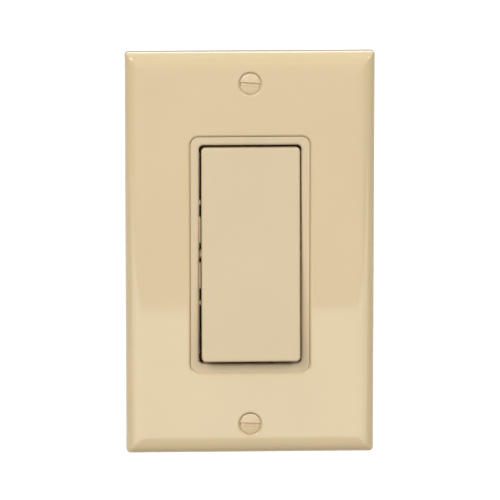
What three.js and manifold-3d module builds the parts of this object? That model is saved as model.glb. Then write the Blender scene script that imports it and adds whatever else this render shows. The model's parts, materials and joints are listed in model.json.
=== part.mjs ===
// Decorator wall switch, single gang: a cover plate, a rocker in its frame, the metal
// strap and the switch body with its contacts and terminals.
//
// Millimetres. X points right, Y points into the wall and Z points up. The origin is the
// centre of the device on the wall surface, where the plate's rim and the strap's ears
// rest. The rocker stands at rest with its top edge pressed in: the switch is on.

import * as THREE from 'three';
import { mergeVertices } from 'three/addons/utils/BufferGeometryUtils.js';
import Module from 'manifold-3d';

// ---- driving dimensions ------------------------------------------------------------

const PLATE_WIDTH = 69.85;
const PLATE_HEIGHT = 114.3;
const PLATE_DEPTH = 5.6;
const PLATE_WALL = 2.2;
const PLATE_CORNER_RADIUS = 1.3;
const PLATE_EDGE = 1.9; // straight edge between the rim and the rounded bevel
const PLATE_BEVEL = 5.4;
const OPENING_WIDTH = 33.4;
const OPENING_HEIGHT = 66.9;
const OPENING_CORNER_RADIUS = 2.4;
const PLATE_BOSS_RADIUS = 3; // bosses behind the plate screws

const PLATE_SCREW_SPACING = 96.84; // 3 13/16 in
const MOUNTING_SCREW_SPACING = 83.34; // 3 9/32 in

const STRAP_THICKNESS = 1.2;
const STRAP_LENGTH = 106;
const STRAP_WIDTH = 35;

const FRAME_WIDTH = 33;
const FRAME_HEIGHT = 66.4;
const FRAME_RECESS = 0.3; // frame front below the plate's face
const WINDOW_WIDTH = 28.87;
const WINDOW_HEIGHT = 62.2;
const WINDOW_CORNER_RADIUS = 1.3;

const ROCKER_WIDTH = 27.8;
const ROCKER_HEIGHT = 60.6;
const ROCKER_SIDE_FLOAT = 0.15; // the rocker rests this far right of centre
const ROCKER_STAND = 1.9; // middle of the face, proud of the frame
const ROCKER_TILT = 4.2; // degrees to either side of level
const ROCKER_CREASE = 0.25; // the face is this much lower in its middle than at its ends
const ROCKER_SKIN = 1.8;
const PIVOT_BELOW_FACE = 4.4;
const TRUNNION_RADIUS = 1.3;

const ARM_TILT = 7; // degrees to either side of level
const ARM_THICKNESS = 0.8;
const ARM_PIVOT_DEPTH = 15.5;

const BODY_WIDTH = 32.6;
const BODY_HEIGHT = 66.8;
const BODY_DEPTH = 24.5;
const BODY_WALL = 1.9;

const TERMINAL_HEIGHT = 13; // terminal screws above and below the middle
const CASE_POST = { x: 11, z: 30.9, radius: 1.7 };

const SEAT = 0.1; // air left between pieces that rest on each other
const ROUND_STEPS = 10; // half the sides of a full circle
const CORNER_STEPS = 2; // half the steps of a rounded corner

// ---- levels worked out from them (Y) -------------------------------------------------

const FACE_Y = -PLATE_DEPTH;
const FRAME_Y = FACE_Y + FRAME_RECESS;
const STRAP_Y = -STRAP_THICKNESS;
const FRAME_REAR_Y = STRAP_Y - SEAT;
const ROCKER_FACE_Y = FRAME_Y - ROCKER_STAND;
const PIVOT_Y = ROCKER_FACE_Y + PIVOT_BELOW_FACE;
const BODY_FLOOR_Y = BODY_DEPTH - 2.2;

// ---- solids --------------------------------------------------------------------------

const wasm = await Module();
wasm.setup();

// A closed three.js geometry as a manifold solid.
function solid(geometry) {
  const bare = geometry.clone();
  bare.deleteAttribute('normal');
  bare.deleteAttribute('uv');
  const merged = mergeVertices(bare, 1e-5);
  const corners = merged.index.array;
  const triangles = [];
  for (let i = 0; i < corners.length; i += 3) {
    const [a, b, c] = [corners[i], corners[i + 1], corners[i + 2]];
    if (a !== b && b !== c && c !== a) triangles.push(a, b, c);
  }
  return new wasm.Manifold(
    new wasm.Mesh({
      numProp: 3,
      vertProperties: new Float32Array(merged.attributes.position.array),
      triVerts: new Uint32Array(triangles),
    }),
  );
}

// A manifold solid as a three.js geometry.
function toGeometry(body) {
  const mesh = body.getMesh();
  const geometry = new THREE.BufferGeometry();
  geometry.setAttribute('position', new THREE.BufferAttribute(mesh.vertProperties, 3));
  geometry.setIndex(new THREE.BufferAttribute(mesh.triVerts, 1));
  geometry.computeVertexNormals();
  return geometry;
}

// A shape pushed along an axis. It is drawn in (y, z) for x, in (x, z) for y and in
// (x, y) for z.
function prism(shape, axis, from, to, curveSegments = CORNER_STEPS) {
  const options = { depth: to - from, bevelEnabled: false, curveSegments };
  const geometry = new THREE.ExtrudeGeometry(shape, options);
  const x = new THREE.Vector3(1, 0, 0);
  const y = new THREE.Vector3(0, 1, 0);
  const z = new THREE.Vector3(0, 0, 1);
  if (axis === 'x') {
    geometry.applyMatrix4(new THREE.Matrix4().makeBasis(y, z, x));
    geometry.translate(from, 0, 0);
  } else if (axis === 'y') {
    geometry.applyMatrix4(new THREE.Matrix4().makeBasis(x, z, y.negate()));
    geometry.translate(0, to, 0);
  } else {
    geometry.translate(0, 0, from);
  }
  return solid(geometry);
}

function box([x0, x1], [y0, y1], [z0, z1]) {
  const geometry = new THREE.BoxGeometry(x1 - x0, y1 - y0, z1 - z0);
  geometry.translate((x0 + x1) / 2, (y0 + y1) / 2, (z0 + z1) / 2);
  return solid(geometry);
}

// A round rod along an axis, centred on (u, v) in the plane that prism draws in.
function rod(axis, radius, from, to, u = 0, v = 0) {
  const circle = new THREE.Shape();
  circle.absarc(u, v, radius, 0, 2 * Math.PI);
  return prism(circle, axis, from, to, ROUND_STEPS);
}

// A solid of revolution about Y. The profile runs from axis to axis with y rising.
function turned(profile, steps = 2 * ROUND_STEPS) {
  const points = profile.map(([radius, y]) => new THREE.Vector2(radius, y));
  return solid(new THREE.LatheGeometry(points, steps));
}

function roundedRectangle(width, height, radius, u = 0, v = 0) {
  const [left, right] = [u - width / 2, u + width / 2];
  const [low, high] = [v - height / 2, v + height / 2];
  const shape = new THREE.Shape();
  shape.moveTo(left + radius, low);
  shape.lineTo(right - radius, low);
  shape.absarc(right - radius, low + radius, radius, -Math.PI / 2, 0);
  shape.lineTo(right, high - radius);
  shape.absarc(right - radius, high - radius, radius, 0, Math.PI / 2);
  shape.lineTo(left + radius, high);
  shape.absarc(left + radius, high - radius, radius, Math.PI / 2, Math.PI);
  shape.lineTo(left, low + radius);
  shape.absarc(left + radius, low + radius, radius, Math.PI, 1.5 * Math.PI);
  return shape;
}

const joined = (first, ...rest) => rest.reduce((all, next) => all.add(next), first);
const cut = (body, ...tools) => body.subtract(joined(...tools));

// ---- materials -----------------------------------------------------------------------

const finish = (color, roughness, metalness = 0) =>
  new THREE.MeshStandardMaterial({ color, roughness, metalness });

const materials = {
  ivoryPlate: () => finish(0xdec9a4, 0.25),
  ivoryRocker: () => finish(0xddcaa9, 0.5),
  ivoryFrame: () => finish(0xdbc9a8, 0.35),
  ivoryPaint: () => finish(0xdfcaa6, 0.35),
  steel: () => finish(0x9da0a3, 0.4, 1),
  zincScrew: () => finish(0xb9b6ab, 0.35, 1),
  brass: () => finish(0xc6a152, 0.35, 1),
  copper: () => finish(0xb87347, 0.35, 1),
  silver: () => finish(0xd4d2cc, 0.3, 1),
  springSteel: () => finish(0x8e9194, 0.3, 1),
  greenScrew: () => finish(0x2f7d46, 0.4, 1),
  bodyPlastic: () => finish(0x5b5750, 0.55),
  acetal: () => finish(0xe9e6dc, 0.45),
  rubber: () => finish(0x2b2a29, 0.85),
  fibre: () => finish(0xc9b48d, 0.9),
};

const device = new THREE.Group();

function piece(name, body, material, parent = device) {
  const geometry = body.isBufferGeometry ? body : toGeometry(body);
  const mesh = new THREE.Mesh(geometry, material());
  mesh.name = name;
  parent.add(mesh);
  return mesh;
}

// ---- screws: head towards -Y with its seat at y = 0, shank towards +Y -----------------

function shank(radius, from, length) {
  const point = 0.6 * radius;
  return [[radius, from], [radius, length - point], [radius - point / 2, length], [0, length]];
}

function slot(width, depth, top) {
  return box([-10, 10], [top - 1, top + depth], [-width / 2, width / 2]);
}

// Countersunk oval head, its rim at y = 0 and its crown in front of that.
function ovalScrew({ headRadius, crown, shankRadius, length, slotWidth, slotDepth }) {
  const dome = [[0, -crown], [0.5 * headRadius, -0.8 * crown], [headRadius, -0.06]];
  const cone = headRadius - shankRadius;
  const profile = [...dome, [headRadius, 0.06], ...shank(shankRadius, cone, length)];
  return cut(turned(profile), slot(slotWidth, slotDepth, -crown));
}

// Round head that seats flat on y = 0.
function roundScrew({ headRadius, headHeight, shankRadius, length, slotWidth, slotDepth }) {
  const profile = [
    [0, -headHeight],
    [0.62 * headRadius, -0.92 * headHeight],
    [0.93 * headRadius, -0.55 * headHeight],
    [headRadius, 0],
    ...shank(shankRadius, 0, length),
  ];
  return cut(turned(profile), slot(slotWidth, slotDepth, -headHeight));
}

// Hexagonal head on a washer face.
function hexScrew({ headRadius, headHeight, shankRadius, length, slotWidth, slotDepth }) {
  const washer = 0.7;
  const body = turned([[0, -washer], [headRadius, -washer], [headRadius, 0],
    ...shank(shankRadius, 0, length)]);
  const across = new THREE.CylinderGeometry(0.88 * headRadius, 0.88 * headRadius,
    headHeight - washer / 2, 6);
  across.translate(0, -(headHeight + washer / 2) / 2, 0);
  return cut(body.add(solid(across)), slot(slotWidth, slotDepth, -headHeight));
}

// ---- cover plate ---------------------------------------------------------------------

// One cross-section of the plate's outside, or of its hollow, as points (u, y).
function domeProfile(half, depth, edge, bevel, baseY) {
  const side = new THREE.CubicBezierCurve(
    new THREE.Vector2(half, -edge),
    new THREE.Vector2(half - 0.02 * bevel, -edge - 0.68 * (depth - edge)),
    new THREE.Vector2(half - 0.3 * bevel, -depth),
    new THREE.Vector2(half - bevel, -depth),
  ).getPoints(7);
  const right = [new THREE.Vector2(half, baseY), ...side];
  const left = right.map((p) => new THREE.Vector2(-p.x, p.y)).reverse();
  return [...right, ...left];
}

// Both cross-sections pushed through each other, which mitres the four corners.
function dome(width, height, depth, edge, bevel, baseY) {
  const across = domeProfile(width / 2, depth, edge, bevel, baseY);
  const along = domeProfile(height / 2, depth, edge, bevel, baseY);
  const yz = along.map((p) => new THREE.Vector2(p.y, p.x)).reverse();
  const upright = prism(new THREE.Shape(across), 'z', -height, height);
  const level = prism(new THREE.Shape(yz), 'x', -width, width);
  return upright.intersect(level);
}

function wallPlate() {
  const inner = 2 * PLATE_WALL;
  const outside = dome(PLATE_WIDTH, PLATE_HEIGHT, PLATE_DEPTH, PLATE_EDGE, PLATE_BEVEL, 0);
  const corners = roundedRectangle(PLATE_WIDTH, PLATE_HEIGHT, PLATE_CORNER_RADIUS);
  const hollow = dome(PLATE_WIDTH - inner, PLATE_HEIGHT - inner, PLATE_DEPTH - PLATE_WALL,
    0.8, PLATE_BEVEL - 1, 1);
  let plate = outside.intersect(prism(corners, 'y', FACE_Y - 1, 1)).subtract(hollow);

  const skinY = FACE_Y + PLATE_WALL;
  const rimY = STRAP_Y - 0.4;
  const rim = roundedRectangle(OPENING_WIDTH + 2.4, OPENING_HEIGHT + 2.4, 3);
  plate = plate.add(prism(rim, 'y', skinY - 0.5, rimY));
  for (const z of [-PLATE_SCREW_SPACING / 2, PLATE_SCREW_SPACING / 2]) {
    plate = plate.add(rod('y', PLATE_BOSS_RADIUS, skinY - 0.5, rimY, 0, z));
  }
  // Stiffening ribs from the rim to the side walls, clear of the strap.
  for (const side of [-1, 1]) {
    for (const z of [-20, 20]) {
      const reach = [side * (OPENING_WIDTH / 2 + 1), side * (PLATE_WIDTH / 2 - 1.5)];
      reach.sort((a, b) => a - b);
      plate = plate.add(box(reach, [skinY - 0.5, rimY - 0.6], [z - 0.6, z + 0.6]));
    }
  }

  const opening = roundedRectangle(OPENING_WIDTH, OPENING_HEIGHT, OPENING_CORNER_RADIUS);
  plate = plate.subtract(prism(opening, 'y', FACE_Y - 1, 1));
  const { headRadius, shankRadius } = PLATE_SCREW;
  for (const z of [-PLATE_SCREW_SPACING / 2, PLATE_SCREW_SPACING / 2]) {
    const clearRadius = shankRadius + 0.35;
    const mouth = headRadius + PLATE_SCREW_SINK + SEAT;
    const sink = new THREE.LatheGeometry([
      new THREE.Vector2(0, -1), new THREE.Vector2(mouth, -1), new THREE.Vector2(mouth, 0.1),
      new THREE.Vector2(clearRadius, mouth - clearRadius + 0.1),
      new THREE.Vector2(clearRadius, PLATE_DEPTH), new THREE.Vector2(0, PLATE_DEPTH),
    ], 2 * ROUND_STEPS);
    sink.translate(0, FACE_Y, z);
    plate = plate.subtract(solid(sink));
  }
  return plate;
}

const PLATE_SCREW = {
  headRadius: 3, crown: 0.45, shankRadius: 1.65, length: 12.7, slotWidth: 1.1, slotDepth: 0.85,
};
const PLATE_SCREW_SINK = 0.25; // depth of the head's rim below the face

piece('wall_plate', wallPlate(), materials.ivoryPlate);
for (const [place, side, turn] of [['top', 1, 4], ['bottom', -1, 3]]) {
  const screw = piece(`plate_screw_${place}`, ovalScrew(PLATE_SCREW), materials.ivoryPaint);
  screw.position.set(0, FACE_Y + PLATE_SCREW_SINK, (side * PLATE_SCREW_SPACING) / 2);
  screw.rotation.y = THREE.MathUtils.degToRad(turn);
}

// ---- mounting strap and what holds it to the wall box -----------------------------------

const EAR = { x: 14.2, z: 45.4, radius: 4.6 };
const GROUND = { x: -12.2, y: 5.2, z: -39.5, tabWidth: 7, tabReach: 9.5 };
const GROUND_SCREW = {
  headRadius: 3.5, headHeight: 2.6, shankRadius: 2, length: 5.5, slotWidth: 0.9, slotDepth: 1.1,
};

function mountingStrap() {
  const sheet = (shape) => prism(shape, 'y', STRAP_Y, 0);
  const hole = (radius, x, z) => rod('y', radius, STRAP_Y - 1, 1, x, z);
  let strap = joined(
    sheet(roundedRectangle(STRAP_WIDTH, BODY_HEIGHT + 1.2, 2)),
    sheet(roundedRectangle(22, STRAP_LENGTH, 3)),
  );
  const window = roundedRectangle(29.2, 56.4, 1.5);
  const holes = [prism(window, 'y', STRAP_Y - 1, 1)];
  for (const up of [-1, 1]) {
    for (const side of [-1, 1]) {
      const [earX, earZ] = [side * EAR.x, up * EAR.z];
      const link = roundedRectangle(10, 3.6, 0.4, side * (EAR.x - 4), earZ);
      strap = joined(strap, sheet(link), rod('y', EAR.radius, STRAP_Y, 0, earX, earZ));
      holes.push(hole(1.7, earX, earZ));
      holes.push(hole(CASE_POST.radius + 0.25, side * CASE_POST.x, up * CASE_POST.z));
    }
    const slotShape = roundedRectangle(6.8, 4, 1.95, 0, (up * MOUNTING_SCREW_SPACING) / 2);
    holes.push(prism(slotShape, 'y', STRAP_Y - 1, 1, 3));
    holes.push(hole(PLATE_SCREW.shankRadius + SEAT, 0, (up * PLATE_SCREW_SPACING) / 2));
  }
  // Tab for the ground screw, folded back from the strap's edge.
  const { x, y, z, tabWidth, tabReach } = GROUND;
  const tab = box([x, x + STRAP_THICKNESS + 0.05], [STRAP_Y, tabReach],
    [z - tabWidth / 2, z + tabWidth / 2]);
  holes.push(rod('x', GROUND_SCREW.shankRadius + SEAT, x - 1, x + 3, y, z));
  return cut(strap.add(tab), ...holes);
}

piece('mounting_strap', mountingStrap(), materials.steel);

const MOUNTING_SCREW = {
  headRadius: 3.3, headHeight: 1.7, shankRadius: 1.7, length: 25.4, slotWidth: 0.9, slotDepth: 0.9,
};
const RETAINER = { side: 9.5, radius: 0.8, thickness: 0.8 };

for (const [place, side, turn] of [['top', 1, 62], ['bottom', -1, -25]]) {
  const z = (side * MOUNTING_SCREW_SPACING) / 2;
  const screw = piece(`mounting_screw_${place}`, roundScrew(MOUNTING_SCREW), materials.zincScrew);
  screw.position.set(0, STRAP_Y - SEAT, z);
  screw.rotation.y = THREE.MathUtils.degToRad(turn);
  // A fibre square behind the strap keeps the loose screw from falling out.
  const shape = roundedRectangle(RETAINER.side, RETAINER.side, RETAINER.radius, 0, z);
  const square = prism(shape, 'y', SEAT, SEAT + RETAINER.thickness);
  const grip = rod('y', MOUNTING_SCREW.shankRadius + SEAT, -1, 3, 0, z);
  piece(`screw_retainer_${place}`, cut(square, grip), materials.fibre);
}

const groundScrew = piece('ground_screw', hexScrew(GROUND_SCREW), materials.greenScrew);
groundScrew.position.set(GROUND.x - SEAT, GROUND.y, GROUND.z);
groundScrew.rotation.z = -Math.PI / 2;

// ---- front frame ---------------------------------------------------------------------

// Pads on the window's side walls that keep the rocker in line: centre and height.
const GUIDE_PADS = [[7.1, 7.4], [-5.9, 7.4], [14.85, 1.2], [-13.65, 1.2]];
// Side of the window, how far the pads stand into it and how deep they start.
const GUIDE_SIDES = [[-1, 0.42, 0.7], [1, 0.2, 2.1]];
const CASE_SCREW = {
  headRadius: 1.95, headHeight: 1.4, shankRadius: 1.05, length: 22.4, slotWidth: 0.6, slotDepth: 0.6,
};
const POST_END_Y = 4.4;

function frontFrame() {
  const front = prism(roundedRectangle(FRAME_WIDTH, FRAME_HEIGHT, 2.3), 'y', FRAME_Y, FRAME_REAR_Y);
  const window = roundedRectangle(WINDOW_WIDTH, WINDOW_HEIGHT, WINDOW_CORNER_RADIUS);
  let frame = front.subtract(prism(window, 'y', FRAME_Y - 1, 0));
  const wall = WINDOW_WIDTH / 2;
  for (const [side, stand, start] of GUIDE_SIDES) {
    for (const [z, height] of GUIDE_PADS) {
      const reach = [side * (wall - stand), side * (wall + 0.3)].sort((a, b) => a - b);
      const pad = box(reach, [FRAME_Y + start, FRAME_REAR_Y], [z - height / 2, z + height / 2]);
      frame = frame.add(pad);
    }
    // Trunnion socket, open to the rear, where the strap closes it.
    const socket = TRUNNION_RADIUS + SEAT;
    const depth = [side * (wall - 1), side * (wall + 1)].sort((a, b) => a - b);
    frame = frame.subtract(rod('x', socket, ...depth, PIVOT_Y, 0));
    frame = frame.subtract(box(depth, [PIVOT_Y, 0], [-socket, socket]));
  }
  // Posts that pass through the strap and take the case screws.
  for (const side of [-1, 1]) {
    for (const up of [-1, 1]) {
      const [x, z] = [side * CASE_POST.x, up * CASE_POST.z];
      frame = frame.add(rod('y', CASE_POST.radius, FRAME_REAR_Y - 0.7, POST_END_Y, x, z));
      frame = frame.subtract(rod('y', CASE_SCREW.shankRadius + SEAT, -0.6, POST_END_Y + 1, x, z));
    }
  }
  return frame;
}

piece('front_frame', frontFrame(), materials.ivoryFrame);

// Rubber strips across the ends of the window, notched round the posts.
const BUMPER = { width: 28.4, height: 2.7, radius: 1.2, thickness: 0.7, z: 29.55 };

function rockerBumper(side) {
  const shape = roundedRectangle(BUMPER.width, BUMPER.height, BUMPER.radius, 0, side * BUMPER.z);
  const strip = prism(shape, 'y', FRAME_REAR_Y - BUMPER.thickness, FRAME_REAR_Y);
  const notch = (x) => rod('y', CASE_POST.radius + SEAT, -4, 0, x, side * CASE_POST.z);
  return cut(strip, notch(-CASE_POST.x), notch(CASE_POST.x));
}

piece('rocker_bumper_top', rockerBumper(1), materials.rubber);
piece('rocker_bumper_bottom', rockerBumper(-1), materials.rubber);

// ---- rocker and its plunger, drawn level about the pivot and then tilted ---------------

const paddle = new THREE.Group();
paddle.position.set(0, PIVOT_Y, 0);
paddle.rotation.x = -THREE.MathUtils.degToRad(ROCKER_TILT);
device.add(paddle);

const FACE = -PIVOT_BELOW_FACE; // local y of the ends of the face
const END_WALL_DEPTH = 2.6;
const SIDE_WALL_REAR = 1.8; // rear edge of the side walls near the pivot
const ROCKER_WALL = 1.5;
const TUBE = { radius: 3.7, bore: 2.3, ceiling: -2, end: 11.8 };

// Side view of the rocker's outside, as a shape in (y, z).
function rockerSide() {
  const half = ROCKER_HEIGHT / 2;
  const shape = new THREE.Shape();
  shape.moveTo(FACE, half);
  shape.lineTo(FACE + ROCKER_CREASE, 0);
  shape.lineTo(FACE, -half);
  shape.lineTo(FACE + END_WALL_DEPTH, -half - 0.2);
  shape.lineTo(SIDE_WALL_REAR, -7);
  shape.lineTo(SIDE_WALL_REAR, 7);
  shape.lineTo(FACE + END_WALL_DEPTH, half + 0.2);
  return shape;
}

// Side view of its hollow, open to the rear.
function rockerHollow() {
  const half = ROCKER_HEIGHT / 2 - ROCKER_WALL;
  const ceiling = FACE + ROCKER_SKIN;
  const shape = new THREE.Shape();
  shape.moveTo(ceiling, half);
  shape.lineTo(ceiling + ROCKER_CREASE, 0);
  shape.lineTo(ceiling, -half);
  shape.lineTo(SIDE_WALL_REAR + 1, -half);
  shape.lineTo(SIDE_WALL_REAR + 1, half);
  return shape;
}

function rocker() {
  const side = ROCKER_WIDTH / 2;
  const outline = roundedRectangle(ROCKER_WIDTH, ROCKER_HEIGHT + 0.4, 1.2);
  const block = prism(rockerSide(), 'x', -side, side).intersect(prism(outline, 'y', FACE - 1, 4));
  const inner = side - ROCKER_WALL;
  let body = block.subtract(prism(rockerHollow(), 'x', -inner, inner));
  for (const z of [-21, -12, 12, 21]) {
    const rib = box([-inner - 0.5, inner + 0.5], [FACE + 1, FACE + ROCKER_SKIN + 1.1], [z - 0.5, z + 0.5]);
    body = body.add(rib);
  }
  for (const end of [-1, 1]) {
    const axle = [end * (side - 1), end * (WINDOW_WIDTH / 2 + 0.7)].sort((a, b) => a - b);
    body = body.add(rod('x', TRUNNION_RADIUS, ...axle));
  }
  body = body.add(rod('y', TUBE.radius, FACE + 1, TUBE.end));
  return body.subtract(rod('y', TUBE.bore, TUBE.ceiling, TUBE.end + 1));
}

piece('rocker', rocker(), materials.ivoryRocker, paddle).position.x = ROCKER_SIDE_FLOAT;

// The plunger's nose ends just short of the arm when both are level.
const NOSE_Y = ARM_PIVOT_DEPTH - ARM_THICKNESS / 2 - PIVOT_Y - SEAT;
const NOSE_RADIUS = 1.4;
const PLUNGER = { stem: 0.9, stemTop: -0.7, shoulder: 4.6, radius: TUBE.bore - SEAT, end: 12.4 };

function plunger() {
  const nose = [];
  for (let step = 0; step <= 5; step++) {
    const angle = (step / 5) * (Math.PI / 2);
    nose.push([NOSE_RADIUS * Math.cos(angle), NOSE_Y - NOSE_RADIUS * (1 - Math.sin(angle))]);
  }
  nose[nose.length - 1][0] = 0;
  const { stem, stemTop, shoulder, radius, end } = PLUNGER;
  return turned([[0, stemTop], [stem, stemTop], [stem, shoulder], [radius, shoulder],
    [radius, end], ...nose]);
}

piece('plunger', plunger(), materials.acetal, paddle).position.x = ROCKER_SIDE_FLOAT;

// Compression spring between the tube's closed end and the plunger's shoulder.
class Helix extends THREE.Curve {
  constructor(radius, turns, from, to) {
    super();
    Object.assign(this, { radius, turns, from, to });
  }

  getPoint(t) {
    const angle = 2 * Math.PI * this.turns * t;
    const y = this.from + (this.to - this.from) * t;
    return new THREE.Vector3(this.radius * Math.cos(angle), y, this.radius * Math.sin(angle));
  }
}

const SPRING = { wire: 0.25, radius: 1.6, turns: 6 };

function plungerSpring() {
  const section = new THREE.Shape();
  section.absarc(0, 0, SPRING.wire, 0, 2 * Math.PI);
  const clear = SPRING.wire + SEAT;
  const path = new Helix(SPRING.radius, SPRING.turns, TUBE.ceiling + clear, PLUNGER.shoulder - clear);
  const options = { steps: 12 * SPRING.turns, extrudePath: path, curveSegments: 3 };
  return new THREE.ExtrudeGeometry(section, options);
}

const spring = piece('plunger_spring', plungerSpring(), materials.springSteel, paddle);
spring.position.x = ROCKER_SIDE_FLOAT;

// ---- contact arm, drawn level about its own pivot and then tilted ----------------------

const arm = new THREE.Group();
arm.position.set(0, ARM_PIVOT_DEPTH, 0);
arm.rotation.x = THREE.MathUtils.degToRad(ARM_TILT);
device.add(arm);

const ARM = { width: 7, low: -11.5, high: 8, axle: 0.9, axleReach: 5.4 };
const RIVET = { z: -9.5, head: 1.9, headHeight: 1, shank: 0.8, tail: 1.3, tailHeight: 0.5 };

function contactArm() {
  const surface = ARM_THICKNESS / 2;
  const height = ARM.high - ARM.low;
  const outline = roundedRectangle(ARM.width, height, 1.2, 0, (ARM.high + ARM.low) / 2);
  const strip = prism(outline, 'y', -surface, surface);
  const hole = rod('y', RIVET.shank + SEAT, -2, 2, 0, RIVET.z);
  // The axle is rolled on the strip's rear side, so the plunger meets a flat front.
  const roll = rod('x', ARM.axle, -ARM.axleReach, ARM.axleReach).intersect(
    box([-9, 9], [-surface, 2], [-2, 2]));
  return cut(strip.add(roll), hole);
}

// A rivet along Y: contact head to the rear, formed tail to the front.
function contactRivet(front, rear) {
  const { head, headHeight, shank: neck, tail, tailHeight } = RIVET;
  return turned([[0, front - tailHeight], [tail, front - tailHeight], [tail, front],
    [neck, front], [neck, rear], [head, rear], [head, rear + 0.6 * headHeight],
    [0.6 * head, rear + headHeight], [0, rear + headHeight]], 16);
}

piece('contact_arm', contactArm(), materials.copper, arm);
const armGrip = ARM_THICKNESS / 2 + 0.05; // half the rivet's length between its heads
const movingContact = piece('moving_contact', contactRivet(-armGrip, armGrip), materials.silver, arm);
movingContact.position.z = RIVET.z;

// ---- terminals -----------------------------------------------------------------------

const PAD = { x: 9.8, thickness: 1.2, half: 5.4, front: 5, rear: 17, screwY: 11 };
const PAD_SIDE = [PAD.x, PAD.x + PAD.thickness];
const BRACKET = { y: 17, thickness: 1.2, half: 3, left: -5.4 };
const FULCRUM = { x: 4.7, thickness: 1, front: 14.9, half: 2.4 };
const CONTACT_GAP = 0.06; // left between the closed contacts
const TERMINAL_SCREW = {
  headRadius: 3.7, headHeight: 2.3, shankRadius: 2, length: 4.2, slotWidth: 0.9, slotDepth: 1,
};

// Where the moving contact's face ends when the arm is tilted to rest.
const armTilt = THREE.MathUtils.degToRad(ARM_TILT);
const contactReach = armGrip + RIVET.headHeight;
const CONTACT_Y = ARM_PIVOT_DEPTH + contactReach * Math.cos(armTilt)
  - (RIVET.z - 0.6 * RIVET.head) * Math.sin(armTilt);
const CONTACT_Z = RIVET.z * Math.cos(armTilt) + contactReach * Math.sin(armTilt);
const LOAD_STRIP_Y = CONTACT_Y + CONTACT_GAP + RIVET.headHeight + 0.1;
const LOAD_STRIP = { low: -12, high: -6.5, left: -3.2 };

function terminalPad(z) {
  const sheet = box(PAD_SIDE, [PAD.front, PAD.rear], [z - PAD.half, z + PAD.half]);
  const tapped = rod('x', TERMINAL_SCREW.shankRadius + SEAT, 5, 15, PAD.screwY, z);
  return [sheet, tapped];
}

function lineTerminal() {
  const [pad, tapped] = terminalPad(TERMINAL_HEIGHT);
  const rear = BRACKET.y + BRACKET.thickness;
  const leg = box(PAD_SIDE, [13, rear], [-BRACKET.half, TERMINAL_HEIGHT]);
  const bracket = box([BRACKET.left, PAD_SIDE[1]], [BRACKET.y, rear], [-BRACKET.half, BRACKET.half]);
  let terminal = cut(joined(pad, leg, bracket), tapped);
  for (const side of [-1, 1]) {
    const x = side * FULCRUM.x;
    const ear = box([x - FULCRUM.thickness / 2, x + FULCRUM.thickness / 2],
      [FULCRUM.front, BRACKET.y + 0.2], [-FULCRUM.half, FULCRUM.half]);
    const seat = ARM.axle + SEAT;
    const groove = rod('x', seat, x - 1, x + 1, ARM_PIVOT_DEPTH, 0);
    const mouth = box([x - 1, x + 1], [FULCRUM.front - 1, ARM_PIVOT_DEPTH], [-seat, seat]);
    terminal = terminal.add(ear.subtract(groove).subtract(mouth));
  }
  return terminal;
}

function loadTerminal() {
  const [pad, tapped] = terminalPad(-TERMINAL_HEIGHT);
  const rear = LOAD_STRIP_Y + PAD.thickness;
  const span = [LOAD_STRIP.low, LOAD_STRIP.high];
  const leg = box(PAD_SIDE, [PAD.rear - 1, rear], span);
  const strip = box([LOAD_STRIP.left, PAD_SIDE[1]], [LOAD_STRIP_Y, rear], span);
  const hole = rod('y', RIVET.shank + SEAT, LOAD_STRIP_Y - 1, rear + 1, 0, CONTACT_Z);
  return cut(joined(pad, leg, strip), tapped, hole);
}

piece('line_terminal', lineTerminal(), materials.brass);
piece('load_terminal', loadTerminal(), materials.brass);

// The fixed contact is the same rivet turned round to face the moving one.
const stripGrip = PAD.thickness / 2 + 0.05;
const fixedContact = piece('fixed_contact', contactRivet(-stripGrip, stripGrip), materials.silver);
fixedContact.rotation.x = Math.PI;
fixedContact.position.set(0, LOAD_STRIP_Y + PAD.thickness / 2, CONTACT_Z);

const CLAMP = { depth: 8.8, height: 9, radius: 0.8, thickness: 1.2 };
const CLAMP_X = PAD_SIDE[1] + 0.15 + CLAMP.thickness / 2;

function clampPlate() {
  const shape = roundedRectangle(CLAMP.depth, CLAMP.height, CLAMP.radius);
  const plate = prism(shape, 'x', -CLAMP.thickness / 2, CLAMP.thickness / 2);
  return cut(plate, rod('x', TERMINAL_SCREW.shankRadius + 0.2, -2, 2));
}
for (const [name, side] of [['line', 1], ['load', -1]]) {
  const z = side * TERMINAL_HEIGHT;
  const clamp = piece(`${name}_clamp_plate`, clampPlate(), materials.zincScrew);
  clamp.position.set(CLAMP_X, PAD.screwY, z);
  const screw = piece(`${name}_terminal_screw`, roundScrew(TERMINAL_SCREW), materials.brass);
  screw.position.set(CLAMP_X + CLAMP.thickness / 2 + SEAT, PAD.screwY, z);
  screw.rotation.set(0, THREE.MathUtils.degToRad(side * 35), Math.PI / 2, 'ZYX');
}

// ---- switch body -----------------------------------------------------------------------

const STOP = { front: 17, rear: 19, low: 5.8, high: 8.6, half: 3.5 };
const BAY = { x: 9.6, half: 5.8, front: 4, rear: 17.6 };
const CELL = { left: -14.4, right: 8, half: 28 };

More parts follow.
